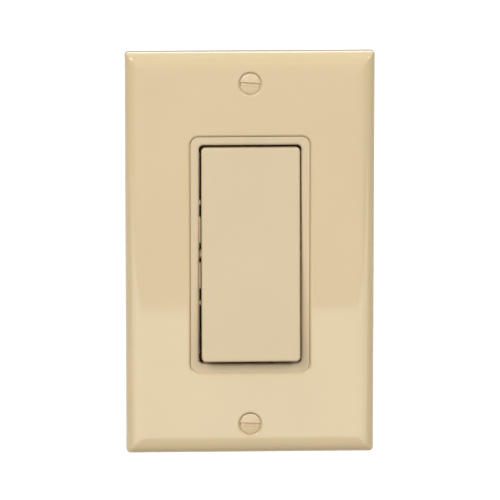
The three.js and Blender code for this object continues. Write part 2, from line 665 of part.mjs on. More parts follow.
function rearBody() {
  const outline = roundedRectangle(BODY_WIDTH, BODY_HEIGHT, 2);
  const chamfer = 1.5;
  const side = BODY_WIDTH / 2;
  const taper = new THREE.Shape([
    new THREE.Vector2(-side, 0), new THREE.Vector2(side, 0),
    new THREE.Vector2(side, BODY_DEPTH - chamfer), new THREE.Vector2(side - chamfer, BODY_DEPTH),
    new THREE.Vector2(chamfer - side, BODY_DEPTH), new THREE.Vector2(-side, BODY_DEPTH - chamfer),
  ]);
  let body = prism(outline, 'y', SEAT, BODY_DEPTH).intersect(prism(taper, 'z', -40, 40));

  const open = SEAT - 1; // above the body's front edge
  const clear = 0.3;
  const cuts = [box([CELL.left, CELL.right], [open, BODY_FLOOR_Y], [-CELL.half, CELL.half])];
  for (const up of [-1, 1]) {
    const z = up * TERMINAL_HEIGHT;
    cuts.push(box([BAY.x, side + 1], [BAY.front, BAY.rear], [z - BAY.half, z + BAY.half]));
    cuts.push(rod('x', TERMINAL_SCREW.shankRadius + 0.3, CELL.right - 1, BAY.x + 1, PAD.screwY, z));
    // Holes for stripped wires, leading to the clamp from the rear.
    for (const off of [-3.6, 3.6]) {
      cuts.push(rod('y', 1.3, BAY.rear - 1, BODY_DEPTH + 1, CLAMP_X, z + off));
    }
    for (const across of [-1, 1]) {
      const [x, postZ] = [across * CASE_POST.x, up * CASE_POST.z];
      cuts.push(rod('y', CASE_POST.radius + 0.15, open, POST_END_Y + 0.3, x, postZ));
      cuts.push(rod('y', CASE_SCREW.shankRadius + 0.2, open, BODY_DEPTH, x, postZ));
      cuts.push(rod('y', CASE_SCREW.headRadius + 0.2, CASE_SCREW_Y, BODY_DEPTH + 1, x, postZ));
    }
  }
  // Ways for the two terminals from their bays into the cell.
  const lineRear = BRACKET.y + BRACKET.thickness + clear;
  const loadRear = LOAD_STRIP_Y + PAD.thickness + clear;
  const legWay = [PAD.x - 0.2, PAD_SIDE[1] + 0.2];
  const cross = [CELL.right - 1, PAD_SIDE[1] + 0.2];
  const lineSpan = [-BRACKET.half - clear, BRACKET.half + clear];
  const loadSpan = [LOAD_STRIP.low - clear, LOAD_STRIP.high + clear];
  cuts.push(box(legWay, [open, lineRear], [lineSpan[0], TERMINAL_HEIGHT]));
  cuts.push(box(cross, [open, lineRear], lineSpan));
  cuts.push(box(legWay, [open, loadRear], [-TERMINAL_HEIGHT - 1, loadSpan[1]]));
  cuts.push(box(cross, [open, loadRear], loadSpan));
  // Pads slide in from the front.
  for (const up of [-1, 1]) {
    const z = up * TERMINAL_HEIGHT;
    cuts.push(box(legWay, [open, BAY.front + 1], [z - PAD.half - 0.2, z + PAD.half + 0.2]));
  }
  body = cut(body, ...cuts);

  // Pedestals under the bracket, the fixed contact's strip and the stop pad.
  const pedestal = (x, y, z) => box(x, [y, BODY_FLOOR_Y + 0.5], z);
  const relief = rod('y', RIVET.tail + 0.3, BODY_FLOOR_Y - 5, BODY_FLOOR_Y + 0.5, 0, CONTACT_Z);
  const bracketBase = pedestal([-6, CELL.right + 0.5], BRACKET.y + BRACKET.thickness + SEAT, [-2.8, 2.8]);
  const stripY = LOAD_STRIP_Y + PAD.thickness + SEAT;
  const stripBase = pedestal([-4, CELL.right + 0.5], stripY, [LOAD_STRIP.low, LOAD_STRIP.high]);
  const stopBase = pedestal([-STOP.half, STOP.half], STOP.rear + SEAT, [STOP.low, STOP.high]);
  return joined(body, bracketBase, stripBase.subtract(relief), stopBase);
}

const CASE_SCREW_Y = BODY_DEPTH - 2;
piece('rear_body', rearBody(), materials.bodyPlastic);
piece('arm_stop_pad',
  box([-STOP.half, STOP.half], [STOP.front, STOP.rear], [STOP.low, STOP.high]), materials.rubber);

for (const [across, sideName] of [[-1, 'left'], [1, 'right']]) {
  for (const [up, levelName] of [[1, 'top'], [-1, 'bottom']]) {
    const name = `case_screw_${levelName}_${sideName}`;
    const screw = piece(name, roundScrew(CASE_SCREW), materials.zincScrew);
    screw.position.set(across * CASE_POST.x, CASE_SCREW_Y + SEAT, up * CASE_POST.z);
    screw.rotation.x = Math.PI;
  }
}

export default device;
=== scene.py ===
"""Looks of the single-gang decorator wall switch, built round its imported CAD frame.

Meshes are drawn in millimetres in the row frame (X right, Y into the wall, Z up) and scaled
to metres when they become objects. Outlines are lists of (u, v) points, counter-clockwise.
"""

import json
import math

import bmesh
import bpy
from mathutils import Matrix, Vector
from mathutils.geometry import delaunay_2d_cdt


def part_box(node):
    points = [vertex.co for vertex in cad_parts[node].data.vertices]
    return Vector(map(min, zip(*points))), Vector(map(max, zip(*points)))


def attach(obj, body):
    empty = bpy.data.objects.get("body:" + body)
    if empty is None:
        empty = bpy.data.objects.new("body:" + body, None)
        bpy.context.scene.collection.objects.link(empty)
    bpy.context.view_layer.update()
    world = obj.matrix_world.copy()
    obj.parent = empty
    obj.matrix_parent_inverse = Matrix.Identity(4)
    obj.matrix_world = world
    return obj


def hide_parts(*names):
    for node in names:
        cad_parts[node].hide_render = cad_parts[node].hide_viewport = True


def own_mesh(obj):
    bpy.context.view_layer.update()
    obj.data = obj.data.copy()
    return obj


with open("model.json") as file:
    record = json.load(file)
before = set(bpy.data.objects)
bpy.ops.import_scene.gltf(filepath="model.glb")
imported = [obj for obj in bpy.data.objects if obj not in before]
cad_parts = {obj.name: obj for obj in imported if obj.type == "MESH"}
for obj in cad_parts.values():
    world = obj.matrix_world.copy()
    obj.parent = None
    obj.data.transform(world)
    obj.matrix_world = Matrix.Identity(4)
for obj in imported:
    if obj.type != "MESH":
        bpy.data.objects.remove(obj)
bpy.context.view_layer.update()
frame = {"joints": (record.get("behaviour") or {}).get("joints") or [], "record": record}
MM = 0.001


# ---- sizes ---------------------------------------------------------------------------------

def span(node):
    """((x0, x1), (y0, y1), (z0, z1)) of a CAD node at rest, in millimetres."""
    low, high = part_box(node)
    return tuple((a / MM, b / MM) for a, b in zip(low, high))


def middle(node):
    return Vector([(a + b) / 2 for a, b in span(node)])


def joint(name):
    return next(j for j in frame["joints"] if j["name"] == name)


PLATE = span("wall_plate")
FACE_Y = PLATE[1][0]
STRAP_Y = span("mounting_strap")[1][0]
FRAME = span("front_frame")
PIVOT_Y = joint("rocker_tilt")["pos_m"][1] / MM
ARM_Y = joint("contact_arm_swing")["pos_m"][1] / MM
PLATE_SCREW_Z = middle("plate_screw_top").z
MOUNTING_SCREW_Z = middle("mounting_screw_top").z
CASE_SCREW = middle("case_screw_top_right")
ROCKER_TILT = math.radians(joint("rocker_tilt")["range_deg"][1] / 2)
ARM_TILT = math.radians(-joint("contact_arm_swing")["range_deg"][0] / 2)
ROCKER_X = (span("rocker")[0][0] + span("rocker")[0][1]) / 2

PLATE_WALL = 2.2
PLATE_EDGE = 1.9
PLATE_BEVEL = 5.4
PLATE_RIB_Z = 20
OPENING = (33.4, 66.9, 2.4)  # width, height, corner radius
WINDOW = (28.6, 62.2, 1.3)
ROCKER = (27.55, 60.2, 1.2)
ROCKER_FACE = -4.4  # from the pivot, at the ends of the face
ROCKER_CREASE = 0.25
END_WALL_DEPTH = 2.6
SIDE_WALL_REAR = 1.8


# ---- outlines ------------------------------------------------------------------------------

def arc(u, v, radius, start, end, steps):
    """Points on an arc, angles in degrees."""
    turn = [math.radians(start + (end - start) * i / steps) for i in range(steps + 1)]
    return [(u + radius * math.cos(a), v + radius * math.sin(a)) for a in turn]


def circle(radius, u=0.0, v=0.0, steps=64):
    return arc(u, v, radius, 0, 360, steps)[:-1]


def rounded(width, height, radius, u=0.0, v=0.0, steps=10, stations=()):
    """A rounded rectangle. Stations are heights at which its upright sides get a point."""
    a, b = width / 2 - radius, height / 2 - radius
    inner = [s for s in sorted(stations) if abs(s) < b - 0.01]
    right = [(u + width / 2, v + s) for s in inner]
    left = [(u - width / 2, v + s) for s in reversed(inner)]
    return (arc(u + a, v - b, radius, -90, 0, steps) + right
            + arc(u + a, v + b, radius, 0, 90, steps)
            + arc(u - a, v + b, radius, 90, 180, steps) + left
            + arc(u - a, v - b, radius, 180, 270, steps))


def between(us, vs, radius, steps=5, spread=0.0):
    """A rounded rectangle that fills two ranges, grown by half the spread on each side."""
    return rounded(us[1] - us[0] + spread, vs[1] - vs[0] + spread, radius,
                   sum(us) / 2, sum(vs) / 2, steps)


def filleted(corners, steps=8):
    """A polygon whose corners (u, v, radius) are rounded."""
    points = []
    count = len(corners)
    for i, (u, v, radius) in enumerate(corners):
        here = Vector((u, v))
        back = (Vector(corners[i - 1][:2]) - here).normalized()
        ahead = (Vector(corners[(i + 1) % count][:2]) - here).normalized()
        half = back.angle(ahead) / 2
        reach = radius / math.tan(half)
        centre = here + (back + ahead).normalized() * radius / math.sin(half)
        start = here + back * reach - centre
        sweep = math.pi - 2 * half
        if start.cross(here + ahead * reach - centre) < 0:
            sweep = -sweep
        for k in range(steps + 1):
            a = sweep * k / steps
            points.append(tuple(centre + Matrix.Rotation(a, 2) @ start))
    return points


def quarter(steps):
    """Angles from 0 to a right angle."""
    return [math.pi / 2 * k / steps for k in range(steps + 1)]


def grown(loop, distance):
    """A loop moved outwards, all its edges by the same distance."""
    count = len(loop)
    moved = []
    for i in range(count):
        before, here, after = (Vector(loop[k % count]) for k in (i - 1, i, i + 1))
        first, second = (here - before).normalized(), (after - here).normalized()
        n1, n2 = Vector((first.y, -first.x)), Vector((second.y, -second.x))
        n = (n1 + n2).normalized()
        moved.append(tuple(here + n * distance / max(n.dot(n1), 0.3)))
    return moved


# ---- meshes --------------------------------------------------------------------------------

def to_object(name, bm, matrix=None):
    """A bmesh drawn in millimetres as an object in metres, its faces pointing out."""
    bmesh.ops.remove_doubles(bm, verts=bm.verts, dist=1e-5)
    if matrix is not None:
        bm.transform(matrix)
    bmesh.ops.recalc_face_normals(bm, faces=bm.faces)
    bm.transform(Matrix.Scale(MM, 4))
    mesh = bpy.data.meshes.new(name)
    bm.to_mesh(mesh)
    bm.free()
    obj = bpy.data.objects.new(name, mesh)
    bpy.context.scene.collection.objects.link(obj)
    return obj


def add_ring(bm, points):
    return [bm.verts.new(p) for p in points]


def flat_ring(bm, loop, y):
    """A ring drawn in (x, z) at one y."""
    return add_ring(bm, [(u, y, v) for u, v in loop])


def join_rings(bm, rings, closed=False):
    pairs = list(zip(rings, rings[1:]))
    if closed:
        pairs.append((rings[-1], rings[0]))
    for a, b in pairs:
        count = len(a)
        for i in range(count):
            k = (i + 1) % count
            bm.faces.new((a[i], a[k], b[k], b[i]))


INSIDE_OUTLINE, INSIDE_WITH_HOLES = 1, 2  # which triangles delaunay_2d_cdt keeps


def cap(bm, rings, creases=()):
    """Fills the flat region inside the first ring and outside the others, drawn in (x, z)."""
    verts = [v for ring in rings for v in ring]
    flat = [Vector((v.co.x, v.co.z)) for v in verts]
    faces, edges, start = [], [], 0
    for ring in rings:
        faces.append(list(range(start, start + len(ring))))
        start += len(ring)
    for a, b in creases:
        edges.append((verts.index(a), verts.index(b)))
    keep = INSIDE_OUTLINE if creases else INSIDE_WITH_HOLES
    _, _, triangles, originals, _, _ = delaunay_2d_cdt(flat, edges, faces, keep, 1e-7)
    index = [o[0] for o in originals]
    for t in triangles:
        bm.faces.new([verts[index[i]] for i in t])


def wall_rings(bm, loop, sign, near, far, rounding, steps=4):
    """The side wall of a slab, its two edges rounded. sign is 1 for the outside, -1 for a hole."""
    near_round, far_round = rounding
    rings = []
    for a in quarter(steps):
        edge = grown(loop, -sign * near_round * (1 - math.sin(a)))
        rings.append(flat_ring(bm, edge, near + near_round * (1 - math.cos(a))))
    for a in quarter(steps):
        edge = grown(loop, -sign * far_round * (1 - math.cos(a)))
        rings.append(flat_ring(bm, edge, far - far_round * (1 - math.sin(a))))
    join_rings(bm, rings)
    return rings[0], rings[-1]


def slab(name, outer, near, far, rounding, holes=(), matrix=None):
    """A plate drawn in (x, z), from y near to y far. holes are (loop, rounding)."""
    bm = bmesh.new()
    ends = [wall_rings(bm, outer, 1, near, far, rounding)]
    ends += [wall_rings(bm, loop, -1, near, far, r) for loop, r in holes]
    cap(bm, [e[0] for e in ends])
    cap(bm, [e[1] for e in ends])
    return to_object(name, bm, matrix)


ALONG_X = Matrix(((0, 1, 0, 0), (1, 0, 0, 0), (0, 0, 1, 0), (0, 0, 0, 1)))  # swaps x and y


def angles(steps):
    return [2 * math.pi * i / steps for i in range(steps)]


def round_ring(bm, radius, y, steps):
    return add_ring(bm, [(radius * math.cos(a), y, radius * math.sin(a)) for a in angles(steps)])


def fan(bm, y, ring):
    """Closes a ring with triangles that meet on the Y axis."""
    tip = bm.verts.new((0, y, 0))
    for i, vert in enumerate(ring):
        bm.faces.new((tip, vert, ring[(i + 1) % len(ring)]))


def turned(name, profile, steps=48, matrix=None):
    """A solid turned about Y from (radius, y) points that start and end on the axis."""
    bm = bmesh.new()
    rings = [round_ring(bm, radius, y, steps) for radius, y in profile[1:-1]]
    join_rings(bm, rings)
    fan(bm, profile[0][1], rings[0])
    fan(bm, profile[-1][1], rings[-1])
    return to_object(name, bm, matrix)


def placed(obj, matrix):
    """Moves a mesh drawn in its own frame to its place in the row frame."""
    obj.data.transform(Matrix.Scale(MM, 4) @ matrix @ Matrix.Scale(1 / MM, 4))
    return obj


def combine(target, tool, operation):
    """Joins a tool object to the target, or cuts it from it, and removes the tool."""
    modifier = target.modifiers.new("boolean", "BOOLEAN")
    modifier.object = tool
    modifier.operation = operation
    modifier.solver = "EXACT"
    graph = bpy.context.evaluated_depsgraph_get()
    mesh = bpy.data.meshes.new_from_object(target.evaluated_get(graph), depsgraph=graph)
    target.modifiers.clear()
    target.data = mesh
    bpy.data.objects.remove(tool)
    return target


def cut(target, *tools):
    for tool in tools:
        combine(target, tool, "DIFFERENCE")
    return target


def join(target, *tools):
    for tool in tools:
        combine(target, tool, "UNION")
    return target


TOOL_EDGE = (0.02, 0.02)


def block(x, y, z, rounding=0.0):
    """A tool block, drawn as a slab between two y values."""
    return slab("tool", between(x, z, max(rounding, 0.05)), *y, TOOL_EDGE)


def peg(radius, y0, y1, x, z, steps=40):
    """A round tool along Y."""
    return slab("tool", circle(radius, x, z, steps), y0, y1, TOOL_EDGE)


def peg_x(radius, x0, x1, y, z, steps=40):
    """A round tool along X."""
    return slab("tool", circle(radius, y, z, steps), x0, x1, TOOL_EDGE, matrix=ALONG_X)


def bar(ends):
    """A tool with flat sides between two outlines that have the same number of points."""
    bm = bmesh.new()
    rings = [add_ring(bm, points) for points in ends]
    join_rings(bm, rings)
    bm.faces.new(rings[0])
    bm.faces.new(rings[1])
    return to_object("tool", bm)


# ---- materials -----------------------------------------------------------------------------

MIX_A, MIX_B, MIX_RESULT = 6, 7, 2  # the colour sockets of a Mix node


class Finish:
    """A Principled material whose colour, roughness and bump come from 3-D noise."""

    def __init__(self, name, **sockets):
        self.material = bpy.data.materials.new(name)
        self.material.use_nodes = True
        self.tree = self.material.node_tree
        self.shader = self.tree.nodes["Principled BSDF"]
        for socket, value in sockets.items():
            self.shader.inputs[socket.replace("_", " ")].default_value = value
        self.where = self.node("ShaderNodeTexCoord").outputs["Object"]
        self.bump_normal = None

    def node(self, kind, **values):
        node = self.tree.nodes.new(kind)
        for key, value in values.items():
            if hasattr(node, key):
                setattr(node, key, value)
            else:
                node.inputs[key.replace("_", " ")].default_value = value
        return node

    def link(self, a, b):
        self.tree.links.new(a, b)

    def noise(self, per_mm, detail=3.0, roughness=0.5, stretch=(1, 1, 1)):
        """Noise with about that many features in a millimetre, as a 0 to 1 output."""
        mapping = self.node("ShaderNodeMapping")
        mapping.inputs["Scale"].default_value = stretch
        self.link(self.where, mapping.inputs["Vector"])
        noise = self.node("ShaderNodeTexNoise", Scale=per_mm / MM, Detail=detail,
                          Roughness=roughness)
        self.link(mapping.outputs["Vector"], noise.inputs["Vector"])
        return noise.outputs["Fac"]

    def ramp(self, value, low, high, start=0.3, end=0.7):
        """A value spread over start to end, mapped to low to high."""
        mapped = self.node("ShaderNodeMapRange")
        for socket, number in zip(("From Min", "From Max", "To Min", "To Max"),
                                  (start, end, low, high)):
            mapped.inputs[socket].default_value = number
        self.link(value, mapped.inputs["Value"])
        return mapped.outputs["Result"]

    def blend_colour(self, value, first, second):
        mix = self.node("ShaderNodeMix", data_type="RGBA")
        for socket, colour in ((MIX_A, first), (MIX_B, second)):
            mix.inputs[socket].default_value = (*colour, 1)
        self.link(value, mix.inputs["Factor"])
        return mix.outputs[MIX_RESULT]

    def mix_colours(self, value, first, second):
        """From one colour output to another, or to a fixed colour."""
        mix = self.node("ShaderNodeMix", data_type="RGBA")
        self.link(first, mix.inputs[MIX_A])
        if isinstance(second, tuple):
            mix.inputs[MIX_B].default_value = (*second, 1)
        else:
            self.link(second, mix.inputs[MIX_B])
        self.link(value, mix.inputs["Factor"])
        return mix.outputs[MIX_RESULT]

    def colour(self, output):
        self.link(output, self.shader.inputs["Base Color"])

    def roughness(self, output):
        self.link(output, self.shader.inputs["Roughness"])

    def bump(self, height, distance_mm, strength=1.0):
        """Raises the surface by a height output, on top of any earlier bump."""
        bump = self.node("ShaderNodeBump", Strength=strength, Distance=distance_mm * MM)
        self.link(height, bump.inputs["Height"])
        if self.bump_normal is not None:
            self.link(self.bump_normal, bump.inputs["Normal"])
        self.bump_normal = bump.outputs["Normal"]
        self.link(self.bump_normal, self.shader.inputs["Normal"])


def shade(colour, factor):
    return tuple(c * factor for c in colour)


def moulded(name, colour, gloss, grain_mm, grain_per_mm, **sockets):
    """Injection-moulded plastic: faint flow mottle, a fine surface grain and long waves."""
    finish = Finish(name, **sockets)
    mottle = finish.ramp(finish.noise(0.045, 2.0), 0, 1)
    finish.colour(finish.blend_colour(mottle, shade(colour, 0.985), shade(colour, 1.012)))
    fine = finish.noise(grain_per_mm, 4.0, 0.6)
    finish.roughness(finish.ramp(fine, gloss[0], gloss[1]))
    finish.bump(finish.noise(0.06, 1.0), 0.004)
    if grain_mm:
        finish.bump(fine, grain_mm)
    return finish.material


def sheet_metal(name, colour, gloss, grain=(1, 1, 1), spangle=0.0, **sockets):
    """Rolled or stamped metal: streaks along the grain, small dents and dull spots."""
    finish = Finish(name, Metallic=1.0, **sockets)
    streaks = finish.noise(3.0, 4.0, 0.65, grain)
    spots = finish.ramp(finish.noise(0.5, 3.0), 0, 1, 0.45, 0.75)
    base = finish.blend_colour(streaks, shade(colour, 0.86), shade(colour, 1.1))
    if spangle:
        crystals = finish.node("ShaderNodeTexVoronoi", Scale=0.55 / MM)
        finish.link(finish.where, crystals.inputs["Vector"])
        value = finish.ramp(crystals.outputs["Distance"], 0, 1, 0.0, 0.9)
        base = finish.mix_colours(value, base, shade(colour, 1 - spangle))
    finish.colour(finish.mix_colours(spots, base, shade(colour, 0.8)))
    finish.roughness(finish.ramp(streaks, gloss[0], gloss[1]))
    finish.bump(streaks, 0.004)
    return finish.material


def painted(name, colour, gloss):
    """Paint over a screw head: an even coat with slight orange peel and thin spots."""
    finish = Finish(name, IOR=1.5)
    spots = finish.ramp(finish.noise(1.2, 3.0), 0, 1, 0.62, 0.8)
    peel = finish.noise(2.2, 2.0)
    base = finish.blend_colour(peel, shade(colour, 0.97), shade(colour, 1.02))
    finish.colour(finish.mix_colours(spots, base, shade(colour, 0.93)))
    finish.roughness(finish.ramp(peel, gloss[0], gloss[1]))
    finish.bump(peel, 0.012)
    return finish.material


IVORY = (0.665, 0.53, 0.315)

MATERIALS = {
    "ivory_plate": moulded("ivory_plate", IVORY, (0.02, 0.04), 0.0, 2.0, IOR=1.49,
                           Subsurface_Weight=0.08, Subsurface_Scale=0.002),
    "ivory_frame": moulded("ivory_frame", (0.655, 0.525, 0.34), (0.28, 0.36), 0.0015, 4.0, IOR=1.49,
                           Specular_IOR_Level=0.3, Subsurface_Weight=0.08, Subsurface_Scale=0.002),
    "ivory_rocker": moulded("ivory_rocker", (0.65, 0.53, 0.34), (0.38, 0.5), 0.004, 6.0, IOR=1.49,
                            Specular_IOR_Level=0.3, Subsurface_Weight=0.08,
                            Subsurface_Scale=0.002),
    "ivory_paint": painted("ivory_paint", (0.68, 0.535, 0.33), (0.25, 0.36)),
    "zinc_strap": sheet_metal("zinc_strap", (0.6, 0.61, 0.62), (0.3, 0.5), (1, 1, 0.06), 0.25),
    "zinc_screw": sheet_metal("zinc_screw", (0.62, 0.61, 0.57), (0.25, 0.42), (1, 0.2, 1)),
    "green_screw": sheet_metal("green_screw", (0.035, 0.24, 0.09), (0.25, 0.4)),
    "brass_strip": sheet_metal("brass_strip", (0.72, 0.5, 0.19), (0.25, 0.42), (1, 0.08, 1)),
    "brass_screw": sheet_metal("brass_screw", (0.78, 0.56, 0.22), (0.22, 0.36)),
    "copper_strip": sheet_metal("copper_strip", (0.72, 0.33, 0.16), (0.25, 0.42), (1, 1, 0.08)),
    "silver_contact": sheet_metal("silver_contact", (0.8, 0.78, 0.74), (0.2, 0.38)),
    "spring_steel": sheet_metal("spring_steel", (0.42, 0.42, 0.43), (0.2, 0.36)),
    "acetal": moulded("acetal", (0.8, 0.78, 0.7), (0.35, 0.5), 0.002, 3.0, IOR=1.48,
                      Subsurface_Weight=0.15, Subsurface_Scale=0.002),
    "body_plastic": moulded("body_plastic", (0.06, 0.044, 0.03), (0.38, 0.58), 0.006, 3.5,
                            IOR=1.5),
    # Its dark brown is painted shade: where the bumpers show at the ends of the rocker's gap, it
    # stands in for the brown of shaded ivory.
    "black_rubber": moulded("black_rubber", (0.08, 0.035, 0.012), (0.7, 0.9), 0.01, 5.0, IOR=1.5,
                            Specular_IOR_Level=0.2),
}


def fibre_board():
    """Pressed fibre: short dark and pale hairs in a buff ground."""
    finish = Finish("fibre", IOR=1.45)
    hairs = finish.noise(2.5, 5.0, 0.7, (1, 1, 0.25))
    across = finish.noise(2.5, 5.0, 0.7, (0.25, 1, 1))
    base = finish.blend_colour(finish.ramp(hairs, 0, 1), (0.42, 0.3, 0.16), (0.62, 0.48, 0.3))
    dark = finish.ramp(across, 0, 0.5, 0.5, 0.75)
    finish.colour(finish.mix_colours(dark, base, (0.34, 0.23, 0.12)))
    finish.roughness(finish.ramp(hairs, 0.75, 0.95))
    finish.bump(hairs, 0.03)
    return finish.material


MATERIALS["fibre"] = fibre_board()
SLOTS = {s["node"]: s["material_slot"] for s in frame["record"]["subparts"]}
BODIES = {n: body for body, nodes in frame["record"]["behaviour"]["bodies"].items() for n in nodes}


SMOOTH_BELOW = math.radians(38)


def stand_in(obj, node):
    """Names and shades a finished piece, hangs it on the body of the CAD node it stands for, and
    hides that node.
    """
    slot, body = SLOTS[node], BODIES[node]
    mesh = obj.data
    obj.name = mesh.name = f"{node}_fine"
    mesh.materials.clear()
    mesh.materials.append(MATERIALS[slot])
    mesh.polygons.foreach_set("use_smooth", [True] * len(mesh.polygons))
    mesh.polygons.foreach_set("material_index", [0] * len(mesh.polygons))
    mesh.set_sharp_from_angle(angle=SMOOTH_BELOW)
    weighted = obj.modifiers.new("weighted normals", "WEIGHTED_NORMAL")
    weighted.keep_sharp = True
    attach(obj, body)
    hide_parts(node)
    return obj


# ---- cover plate ---------------------------------------------------------------------------

def bezier(a, b, c, d, steps):
    points = []
    for k in range(steps + 1):
        t = k / steps
        weights = ((1 - t) ** 3, 3 * t * (1 - t) ** 2, 3 * t * t * (1 - t), t ** 3)
        points.append(tuple(sum(w * p[i] for w, p in zip(weights, (a, b, c, d))) for i in (0, 1)))
    return points


def dome_section(depth, edge, bevel, steps):
    """(inset, y) points from the straight edge over the bevel to the face."""
    rise = depth - edge
    return bezier((0, -edge), (0.02 * bevel, -edge - 0.68 * rise),
                  (0.3 * bevel, -depth), (bevel, -depth), steps)


def wall_plate():
    width, height = PLATE[0][1] - PLATE[0][0], PLATE[2][1] - PLATE[2][0]
    depth = -FACE_Y
    bm = bmesh.new()

    def ring(inset, y, radius):
        return flat_ring(bm, rounded(width - 2 * inset, height - 2 * inset, radius), y)

    def opening_ring(outset, y):
        w, h, r = OPENING
        return flat_ring(bm, rounded(w + 2 * outset, h + 2 * outset, r + outset), y)

    rim_round, opening_round = 0.15, 0.9
    sink_radius, hole_radius = 3.35, 2.0
    rings = [ring(rim_round, 0, 1.2), ring(0, -rim_round, 1.3), ring(0, -1.0, 1.3)]
    for inset, y in dome_section(depth, PLATE_EDGE, PLATE_BEVEL, 18):
        rings.append(ring(inset, y, 0.7 + 0.6 * math.exp(-inset / 0.5)))
    rings.append(ring(PLATE_BEVEL + 0.4, FACE_Y, 0.7))
    for a in quarter(8):
        rings.append(opening_ring(opening_round * (1 - math.sin(a)),
                                  FACE_Y + opening_round * (1 - math.cos(a))))
    rim_y = STRAP_Y - 0.4
    skin_y = FACE_Y + PLATE_WALL
    rings += [opening_ring(0, rim_y - 0.1), opening_ring(0.1, rim_y), opening_ring(1.1, rim_y),
              opening_ring(1.2, rim_y - 0.1), opening_ring(1.2, skin_y)]
    inner = [(inset + PLATE_WALL, y) for inset, y in
             dome_section(depth - PLATE_WALL, 0.8, PLATE_BEVEL - 1, 8)]
    for inset, y in reversed(inner):
        rings.append(ring(inset, y, 1.0))
    rings.append(ring(PLATE_WALL, -rim_round, 1.0))
    rings.append(ring(PLATE_WALL - rim_round, 0, 1.0))
    join_rings(bm, rings, closed=True)
    plate = to_object("wall_plate", bm)

    for side in (-1, 1):
        for z in (-PLATE_RIB_Z, PLATE_RIB_Z):
            reach = sorted((side * (OPENING[0] / 2 + 1), side * (width / 2 - 1.7)))
            join(plate, block(reach, (skin_y - 0.5, rim_y - 0.6), (z - 0.6, z + 0.6), 0.1))
    for side in (-1, 1):
        z = side * PLATE_SCREW_Z
        join(plate, peg(3, skin_y - 0.5, rim_y, 0, z, 64))
        sink = turned("tool", [
            (0, -1), (sink_radius + 0.5, -1), (sink_radius + 0.36, -0.001),
            (sink_radius + 0.16, 0.03), (sink_radius + 0.02, 0.1), (sink_radius - 0.08, 0.2),
            (hole_radius, sink_radius - hole_radius + 0.12), (hole_radius, depth), (0, depth)], 72,
            Matrix.Translation((0, FACE_Y, z)))
        cut(plate, sink)
    return plate


stand_in(wall_plate(), "wall_plate")


# ---- screws --------------------------------------------------------------------------------

COARSE_PITCH = 0.794  # 32 threads to the inch
CASE_PITCH = 1.06
THREAD_DEPTH = 0.52  # of the pitch
ROWS_PER_TURN = 6
POINT_LENGTH = 0.9
SLOT_FLARE = 0.09


def screw(head, shank, start, end, pitch, slot_size, matrix, slot_shift=0.0, steps=40):
    """A head profile, then a threaded shank from y start to end, then a point.

    Heads are drawn towards -Y with their seat at y = 0. slot_size is (width, floor y, top y,
    half length)."""
    bm = bmesh.new()
    rings = [round_ring(bm, radius, y, steps) for radius, y in head[1:]]
    rows = int((end - start) / pitch * ROWS_PER_TURN)
    for k in range(rows + 1):
        y = start + (end - start) * k / rows
        fade = min(1.0, (y - start) / pitch, (end - y) / pitch * 1.2 + 0.15)
        taper = min(0.0, end - POINT_LENGTH - y) * 0.45
        ring = []
        for a in angles(steps):
            phase = (y / pitch - a / (2 * math.pi)) % 1.0
            groove = 1 - abs(2 * phase - 1)
            radius = shank - THREAD_DEPTH * pitch * groove * max(fade, 0) + taper
            ring.append((radius * math.cos(a), y, radius * math.sin(a)))
        rings.append(add_ring(bm, ring))
    join_rings(bm, rings)
    fan(bm, head[0][1], rings[0])
    fan(bm, end, rings[-1])
    body = to_object("screw", bm)
    width, floor, top, reach = slot_size
    low, high = slot_shift - width / 2, slot_shift + width / 2
    wide_low, wide_high = low - SLOT_FLARE, high + SLOT_FLARE
    outline = [(low, floor), (low, top + 0.25), (wide_low, top + 0.12), (wide_low, top - 1),
               (wide_high, top - 1), (wide_high, top + 0.12), (high, top + 0.25), (high, floor)]
    cut(body, bar([[(x, y, z) for z, y in outline] for x in (-reach, reach)]))
    return placed(body, matrix)


def about_y(degrees):
    return Matrix.Rotation(math.radians(degrees), 4, "Y")


def oval_head(radius, crown, shank):
    cone = radius - shank
    points = [(0, -crown)]
    for k in range(1, 11):
        share = k / 10
        points.append((radius * 0.975 * share, -0.03 - (crown - 0.03) * (1 - share ** 2.2)))
    return points + [(radius, 0.03), (radius - 0.02, 0.1), (shank, cone + 0.02),
                     (shank, cone + 0.5)]


def round_head(radius, height, shank):
    points = [(0, -height)]
    for a in quarter(10)[1:]:
        points.append((radius * math.sin(a) ** 0.8, -height * math.cos(a) ** 0.75 - 0.02))
    return points + [(radius, -0.05), (radius - 0.06, 0), (shank, 0), (shank, 0.3)]


for place_name, side, turn in (("top", 1, 4), ("bottom", -1, 3)):
    node = f"plate_screw_{place_name}"
    crown = span(node)[1][0]
    seat = Matrix.Translation((0, crown + 0.45, side * PLATE_SCREW_Z)) @ about_y(turn)
    stand_in(screw(oval_head(2.92, 0.45, 1.65), 1.65, 2.4, 12.6, COARSE_PITCH,
                   (1.1, 0.4, -0.45, 6), seat, slot_shift=-0.2), node)

for place_name, side, turn in (("top", 1, 62), ("bottom", -1, -25)):
    node = f"mounting_screw_{place_name}"
    seat = Matrix.Translation((0, span(node)[1][1] - 25.4, side * MOUNTING_SCREW_Z))
    stand_in(screw(round_head(3.3, 1.66, 1.7), 1.7, 1.6, 25.3, COARSE_PITCH,
                   (0.9, -0.8, -1.7, 6), seat @ about_y(turn)), node)


# ---- front frame ---------------------------------------------------------------------------

GUIDE_PADS = ((7.1, 7.4), (-5.9, 7.4), (14.85, 1.2), (-13.65, 1.2))  # centre and height
GUIDE_SIDES = ((-1, 0.42, 0.7), (1, 0.2, 2.1))  # side, how far the pads stand out and start back
FRAME_SPREAD = (0.38, 0.78)  # past the CAD frame, to close the seam to the plate
FRAME_DROP = 0.15  # how far that outline is centred below the CAD frame
# How far the bumpers are grown past the CAD part, so that their dark brown fills the ends of the
# window: painted shade in the rocker's gap.
BUMPER_SHADE_SPREAD = 0.4


